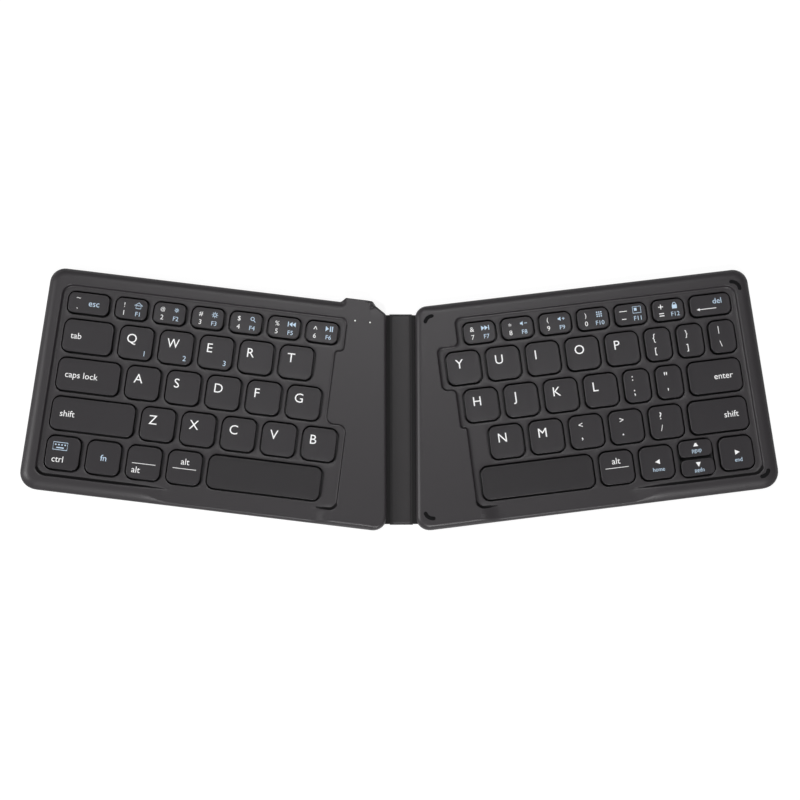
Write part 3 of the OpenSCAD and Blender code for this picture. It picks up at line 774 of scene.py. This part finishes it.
def print_legends(mats):
    """Plain letters, digits, signs and everyday key words in the places where such keys carry them."""
    ink = Ink()
    for side, row, i, node, u, v, w, h, r in KEYS:
        white, blue = (node, "white"), (node, "blue")
        left, right = -w / 2 + 2.9, w / 2 - 2.9
        mark = WORDS.get((side, row), [None] * 9)
        mark = mark[i] if isinstance(i, int) and i < len(mark) else None
        if isinstance(mark, str):
            x, squeeze = left + (0.58 if side > 0 else 0), 0.88 if mark == "W" else 1.0
            ink.word(white, side, u, v, x, -0.15, mark, 3.9, "left", squeeze)
            if side < 0 and row == 1 and i < 4:
                ink.word(blue, side, u, v, 3.87, -5.0, "123"[i - 1], 2.2, "middle")
        elif mark and len(mark) == 3:
            ink.sign(white, side, u, v, -2.93, 1.45, mark[1], *SIGN_SIZE.get(mark[1], (None, 1.9)))
            ink.sign(white, side, u, v, -2.93, -1.8, mark[0], *SIGN_SIZE.get(mark[0], (None, 1.95)))
            ink.sign(blue, side, u, v, 2.7, -1.9, mark[2], None, 1.75)
            media_mark(ink, blue, side, u, v, MEDIA[side][i])
        elif mark:
            for sign, y in ((mark[1], 1.7), (mark[0], -3.4)):
                dx, dy, grow = SIGN_SHIFT[sign]
                ink.word(white, side, u, v, left - 0.2 + dx, y + dy, sign, 2.5, grow=grow)
        elif (side, row, i) == (-1, 0, 0):
            ink.word(white, side, u, v, -4.3, 1.1, "~", 2.2, "middle")
            ink.word(white, side, u, v, -4.4, -4.27, "`", 2.4, "middle")
            ink.word(blue, side, u, v, 2.2, -1.05, "esc", 2.55, "middle")
        elif (side, row, i) == (1, 0, 0):
            ink.word(blue, side, u, v, right - 0.6, 0.3, "del", 2.4, "right")
            ink.line(white, side, u, v, [(-4.8, -1.55), (2.2, -1.55)], 0.28)
            ink.shape(white, side, u, v, -4.6, -1.55, [[-1.2, 0], [0, -0.6], [0, 0.6]])
        elif node in KEY_WORDS:
            x, align = (left, "left") if side < 0 else (right, "right")
            ink.word(white, side, u, v, x + WORD_SHIFT[node], -1.2, KEY_WORDS[node], 2.6, align)
        elif side < 0 and row == 4 and i == 0:
            ink.word(white, side, u, v, -1.8, -3.75, "ctrl", 2.6, "middle")
            ink.line(blue, side, u, v, box(-1.4, 2.65, 5.7, 3.0), STROKE, closed=True)
            for x in (-1.9, -0.63, 0.63, 1.9):
                ink.shape(blue, side, u, v, x - 1.4, 3.2, box(0, 0, 0.6, 0.5))
            ink.shape(blue, side, u, v, -1.4, 2.0, box(0, 0, 3.0, 0.45))
        elif side < 0 and row == 4 and i == 1:
            ink.word(blue, side, u, v, 0, -1.2, "fn", 2.6, "middle")
        elif row == 4 and i in (2, 3) and (side < 0 or i == 3):
            x, y, line_y = (-2.85, -4.2, -0.4) if i == 2 else (0, 1.25, -0.4) if side < 0 else (0, 1.45, -0.1)
            ink.word(white, side, u, v, x, y, "alt", 2.6, "middle")
            ink.line(white, side, u, v, [(-4.7, line_y), (4.7, line_y)], 0.22)
        elif side > 0 and row == 4 and i != 4:
            tri, name, y, low = {
                "up": ([[-1, -0.9], [1, -0.9], [0, 1]], "pgup", 1.65, -1.53),
                "down": ([[-1, 0.9], [0, -1], [1, 0.9]], "pgdn", 1.1, -1.92),
                0: ([[-0.9, -1], [1, 0], [-0.9, 1]], "end", 0.25, -3.55),
                2: ([[0.9, -1], [0.9, 1], [-1, 0]], "home", 0.25, -3.55)}[i]
            ink.shape(white, side, u, v, 0.3, y, tri)
            ink.word(blue, side, u, v, 0.42, low, name, 1.7, "middle", 0.92)
    ink.finish(mats)


# ---------------------------------------------------------------- spine, rests, lights

# the skin's cross-section (x, z), and its soft ends: how far from the end, and how much thinner it is there
SKIN = [[-4.6, 0.1], [-4.45, 0.0], [4.45, 0.0], [4.6, 0.1], [4.6, 0.55], [4.4, 0.68], [4.0, 0.72],
        [-4.0, 0.72], [-4.4, 0.68], [-4.6, 0.55]]
SKIN_ENDS = [(0, 0.25), (0.15, 0.08), (0.5, 0)]
# the panel's outline up over its soft edge: how far in, and at which height
PANEL = ((0, 0.6), (0, 0.76), (0.12, 0.86), (0.35, 0.92), (0.8, 0.97), (1.6, 1.0))


def spine(mat, panel_mat):
    """SKIN carried along Y and thinned at both ends; the panel lies proud on it."""
    half = SPINE_L / 2
    y = np.array([-half + d for d, thinner in SKIN_ENDS] + [half - d for d, thinner in SKIN_ENDS[::-1]])
    tuck = np.array([thinner for d, thinner in SKIN_ENDS + SKIN_ENDS[::-1]])
    sec = np.array(SKIN)
    n = len(sec)
    x = sec[:, 0][None] * np.ones((len(y), 1))
    z = sec[:, 1][None] + tuck[:, None] * np.where(sec[:, 1] < 0.3, 0.5, -0.5)[None]
    co = np.stack([x, np.broadcast_to(y[:, None], x.shape), z], -1).reshape(-1, 3) * MM
    faces = strip_faces(len(y), n).tolist() + [list(range(n)), list(range(5 * n, 6 * n))[::-1]]
    skin = piece("spine_skin_strip", co, faces, mat, "spine", "spine_skin", sharp=40)
    half -= PANEL_SHORTER
    loops = [rounded_box(PANEL_X - d, half - d, max(0.3, PANEL_R - d / 2), 5) for d, h in PANEL]
    n = len(loops[0])
    co = np.concatenate([np.column_stack([q, np.full(n, h)]) for q, (d, h) in zip(loops, PANEL)]) * MM
    faces = strip_faces(len(loops), n).tolist() + [list(range(5 * n, 6 * n)), list(range(n))[::-1]]
    panel = piece("spine_top_panel", co, faces, panel_mat, "spine", "spine_panel", sharp=40)
    return skin, panel


def across_crease(name, side, x, low, top, half, mid, mat, node):
    """A strip with the section low to top over x, carried along Y, reaching from the half to the spine."""
    sec = np.concatenate([np.stack([x, low], 1), np.stack([x[::-1], top[::-1]], 1)])
    y = np.linspace(mid - half, mid + half, 5)
    n = len(sec)
    co = np.stack([np.broadcast_to(a, (5, n)) for a in (sec[:, 0], y[:, None], sec[:, 1])], -1)
    faces = strip_faces(5, n).tolist() + [list(range(n)), list(range(4 * n, 5 * n))[::-1]]
    if side < 0:
        faces = [f[::-1] for f in faces]
    o = piece(name, co.reshape(-1, 3) * MM, faces, mat, None, node, sharp=60)
    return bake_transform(o)


def creases(side, web_mat, film_mat):
    """The soft web over one crease, coloured darker as painted shade, and the flat cable inside it."""
    name = SIDE_NAME[side]
    s = np.linspace(0, 1, 15)
    low, top = 0.04 + 0.06 * np.sin(s * math.pi), 0.66 - 0.08 * np.sin(s * math.pi)
    across_crease(f"{name}_crease", side, side * (4.3 + 2.4 * s), low, top, SPINE_L / 2 - 0.3, 0, web_mat,
                  None)
    reach = 20.0 if side > 0 else 13.4
    x = side * np.concatenate([[0.02, 2.0], np.linspace(4.2, 6.1, 11), [8.0, reach]])
    low, top = np.full(len(x), 0.4), np.full(len(x), 0.5)
    across_crease(f"{name}_flat_cable", side, x, low, top, CABLE_HALF, CABLE_Y, film_mat, "flex_cable")


# the rests: middle (u, v) of each one's arc, and its first and last angle
RESTS = ((16.6, 29.5, 90, 160), (6.9, -45.7, 194, 270), (139.9, 28.9, 0, 90), (139.8, -45.3, 270, 342))
REST_R, REST_LOW = 3.1, 4.4
# half width and height over the rim, up over the rest's rounded edge; None stands for its foot, at REST_LOW
REST_SECTION = ((0.74, None), (0.74, 0.04), (0.7, 0.13), (0.55, 0.19), (0.3, 0.2))
# the lights: where they stand, and each lens's radius and height over the rim; None stands for LIGHT_LOW
LIGHT_U, LIGHT_V, LIGHT_LOW = (22.4, 16.3), 29.9, 3.0
LIGHT_SECTION = ((0.33, None), (0.33, -0.02), (0.28, 0.03), (0.19, 0.06), (0.08, 0.07))
# the magnets' discs, lower than the frame's
MAGNET_U, MAGNET_R, MAGNET_LOW, MAGNET_TOP = 144.2, 1.8, 3.4, 4.45
MAGNET_V = (BACK_V - 25.3, FRONT_V + 29.1)


def section_heights(low, section):
    """The first loop at low, the others at their heights over the rim."""
    return [low if over is None else TOP_Z + over for wide, over in section]


def bumpers(mat):
    """Four quarter-round rubber rests: a rounded section carried along an arc, with rounded ends."""
    made = Build(1)
    for cu, cv, first, last in RESTS:
        a = np.radians(np.linspace(first, last, 15))
        nrm = np.stack([np.cos(a), np.sin(a)], 1)
        t = np.stack([-np.sin(a), np.cos(a)], 1)
        line = nrm * REST_R + (cu, cv)
        turn = (np.linspace(-90, 90, 7)[1:-1] * math.pi / 180)[::-1]
        along, across = np.cos(turn)[:, None], np.sin(turn)[:, None]
        loops = []
        for wide, over in REST_SECTION:
            end = line[-1] + wide * (along * t[-1] + across * nrm[-1])
            beg = line[0] - wide * (along * t[0] + across * nrm[0])
            loops.append(np.concatenate([line + nrm * wide, end, (line - nrm * wide)[::-1], beg]))
        heights = section_heights(REST_LOW, REST_SECTION)
        made.rings(loops, heights)
        made.cover(loops[-1], heights[-1])
    return piece("corner_rests", made.points(), made.faces, mat, "right_half", "right_bumpers",
                 sharp=60)


def lights(mat):
    """Two small domed lenses set in the rim."""
    made = Build(-1)
    heights = section_heights(LIGHT_LOW, LIGHT_SECTION)
    for u in LIGHT_U:
        loops = [circle(24) * r + (u, LIGHT_V) for r, over in LIGHT_SECTION]
        made.rings(loops, heights)
        made.cover(loops[-1], heights[-1])
    return piece("status_lenses", made.points(), made.faces, mat, "left_half", "status_lights",
                 sharp=60)


def magnets(side, mat):
    """Two discs under the outer rim, low enough to stay under its rounded edge."""
    made = Build(side)
    for v in MAGNET_V:
        disc = circle(32) * MAGNET_R + (MAGNET_U, v)
        made.rings([disc, disc], [MAGNET_LOW, MAGNET_TOP])
        made.cover(disc, MAGNET_TOP)
        made.cover(disc, MAGNET_LOW, flip=True)
    name = SIDE_NAME[side]
    return piece(f"{name}_magnet_discs", made.points(), made.faces, mat, f"{name}_half", f"{name}_magnets")


# ---------------------------------------------------------------- scene

case_mat = material("soft_touch_case", (0.0345, 0.0312, 0.0342),
                    rough=0.41, grain=0.2, grain_scale=4200, mottle=0.035, spec=0.5)
key_mat = material("matte_keycap", (0.0300, 0.0273, 0.0303),
                   rough=0.38, grain=0.15, grain_scale=5200, mottle=0.03, spec=0.42)
space_mat = material("matte_space_bar", (0.0235, 0.0213, 0.0235),
                     rough=0.40, grain=0.15, grain_scale=5200, mottle=0.03, spec=0.42)
spine_mat = material("spine_rubber", (0.022, 0.021, 0.0215),
                     rough=0.55, grain=0.3, grain_scale=3600, mottle=0.03, spec=0.35)
# darker than the spine's rubber: painted shade in the crease
crease_mat = material("crease_rubber_painted_shade", (0.012, 0.0115, 0.012),
                      rough=0.7, grain=0.3, grain_scale=3600, mottle=0.03, spec=0.25)
panel_mat = material("spine_panel_plastic", (0.028, 0.0258, 0.0272),
                     rough=0.47, grain=0.25, grain_scale=4200, mottle=0.05, spec=0.42)
# a darker copy of the case's colour: painted shade on the well's steep walls
shade_mat = material("painted_shade_walls", (0.012, 0.0113, 0.012),
                     rough=0.6, grain=0.2, grain_scale=4200, mottle=0.035, spec=0.2)
# near black: painted shade for the deep gaps, on the windows' walls and the caps' skirts
gap_shade_mat = material("painted_gap_shade", (0.006, 0.006, 0.006), rough=0.7, grain=0.1, mottle=0.05, spec=0.1)
bumper_mat = material("black_rubber", (0.006, 0.006, 0.0065),
                      rough=0.75, grain=0.3, grain_scale=3000, mottle=0.05, spec=0.12)
# the inks glow a little: painted light, which makes the print brighter than the lamps alone make it
white_ink_painted_glow = material("white_ink_painted_glow", (0.86, 0.86, 0.86), rough=0.45, mottle=0.02, emit=0.15)
blue_ink_painted_glow = material("blue_ink_painted_glow", (0.52, 0.66, 0.80), rough=0.45, mottle=0.02, emit=0.12)
# near white and glowing faintly, so the lenses show as two bright dots
lens_mat = material("clear_lens", (0.85, 0.88, 0.84), rough=0.15, mottle=0.03, coat=0.5, emit=0.25)
steel_mat = material("plate_steel", (0.30, 0.30, 0.31), rough=0.35, grain=0.1, metallic=1.0, mottle=0.05)
# near black: the plate, seen down the key gaps, darkened as painted shade
plate_shade_mat = material("key_plate_painted_shade", (0.006, 0.006, 0.006),
                          rough=0.7, grain=0.2, mottle=0.05, spec=0.15)
dome_mat = material("dome_silicone", (0.02, 0.02, 0.021), rough=0.45, grain=0.1, mottle=0.05)
link_mat = material("link_plastic", (0.02, 0.02, 0.02), rough=0.45, grain=0.1, mottle=0.05)
board_mat = material("board_lacquer", (0.03, 0.2, 0.09), rough=0.3, grain=0.1, mottle=0.1)
foil_mat = material("battery_foil", (0.5, 0.52, 0.55),
                    rough=0.4, grain=0.3, grain_scale=900, metallic=0.8, mottle=0.05)
film_mat = material("cable_film", (0.5, 0.3, 0.08), rough=0.3, grain=0.1, mottle=0.1)

for side in (-1, 1):
    case_top(side, case_mat, [shade_mat, gap_shade_mat])
    case_bottom(side, case_mat)
    creases(side, crease_mat, film_mat)
    magnets(side, steel_mat)
caps(key_mat, gap_shade_mat, space_mat)
print_legends({"white": white_ink_painted_glow, "blue": blue_ink_painted_glow})
spine(spine_mat, panel_mat)
bumpers(bumper_mat)
lights(lens_mat)

# the frame's own pieces that stay
for node, mat in (("right_key_plate", plate_shade_mat), ("left_key_plate", plate_shade_mat),
                  ("right_dome_sheet", dome_mat), ("left_dome_sheet", dome_mat),
                  ("right_scissors", link_mat), ("left_scissors", link_mat),
                  ("charging_port", steel_mat), ("battery", foil_mat), ("main_board", board_mat)):
    inner = frame["nodes"][node]
    inner.data.materials.clear()
    inner.data.materials.append(mat)


def floor_material(seen, shadowed, lit):
    """Near white to the camera: a glow of the colour seen and a dim diffuse part that keeps the shadow.
    To all other rays it is plainly diffuse, of the colour lit."""
    m = bpy.data.materials.new("pale_floor")
    m.use_nodes = True
    t = m.node_tree
    t.nodes.clear()
    out = t.nodes.new("ShaderNodeOutputMaterial")
    diffuse = t.nodes.new("ShaderNodeBsdfDiffuse")
    diffuse.inputs["Color"].default_value = (lit, lit, lit, 1)
    glow = t.nodes.new("ShaderNodeEmission")
    glow.inputs["Color"].default_value = (seen, seen, seen, 1)
    both = t.nodes.new("ShaderNodeAddShader")
    dim = t.nodes.new("ShaderNodeBsdfDiffuse")
    dim.inputs["Color"].default_value = (shadowed, shadowed, shadowed, 1)
    pick = t.nodes.new("ShaderNodeMixShader")
    ray = t.nodes.new("ShaderNodeLightPath")
    t.links.new(glow.outputs[0], both.inputs[0])
    t.links.new(dim.outputs[0], both.inputs[1])
    t.links.new(ray.outputs["Is Camera Ray"], pick.inputs[0])
    t.links.new(diffuse.outputs[0], pick.inputs[1])
    t.links.new(both.outputs[0], pick.inputs[2])
    t.links.new(pick.outputs[0], out.inputs["Surface"])
    return m


FLOOR_HALF, FLOOR_Z = 2, -0.0002
me = bpy.data.meshes.new("floor")
me.from_pydata([(x, y, FLOOR_Z) for x, y in box(0, 0, 2 * FLOOR_HALF, 2 * FLOOR_HALF)], [], [(0, 1, 2, 3)])
me.materials.append(floor_material(0.87, 0.22, 0.9))
floor = bpy.data.objects.new("floor", me)
bpy.context.scene.collection.objects.link(floor)

# even light from all round; with the lamps a colour renders about as it is written
ROOM_LIGHT = 0.15
world = bpy.data.worlds.new("studio")
world.use_nodes = True
world.node_tree.nodes["Background"].inputs["Color"].default_value = (1, 1, 1, 1)
world.node_tree.nodes["Background"].inputs["Strength"].default_value = ROOM_LIGHT
bpy.context.scene.world = world


def lamp(name, place, look, size, power):
    """A soft area lamp at a place, turned to look at a point."""
    light = bpy.data.lights.new(name, "AREA")
    light.shape = "DISK"
    light.size = size
    light.energy = power
    o = bpy.data.objects.new(name, light)
    o.location = place
    o.rotation_euler = (Vector(look) - Vector(place)).to_track_quat("-Z", "Y").to_euler()
    bpy.context.scene.collection.objects.link(o)


lamp("left_light", (-2.3, -0.1, 1.7), (0, 0, 0), 0.9, 31)
lamp("front_light", (0.1, -1.75, 1.8), (0, 0, 0), 0.4, 33)
lamp("back_light", (0.0, 0.5, 1.15), (0, 0, 0), 0.4, 3.2)

# the camera's lens, place and turn, solved from where the keys' middles stand in the photograph
camera = bpy.data.cameras.new("camera")
camera.sensor_width = 36
camera.lens = 64.51
camera.clip_start = 0.01
cam = bpy.data.objects.new("camera", camera)
place = (-0.01284, -0.07418, 0.5758)
right = Vector((0.999770, -0.002857, 0.021233))
up = Vector((-0.000159, 0.990057, 0.140668))
back = -Vector((0.021424, 0.140639, -0.989829))
cam.matrix_world = Matrix.Translation(place) @ Matrix((right, up, back)).transposed().to_4x4()
bpy.context.scene.collection.objects.link(cam)
bpy.context.scene.camera = cam
bpy.context.scene.view_settings.view_transform = "Standard"
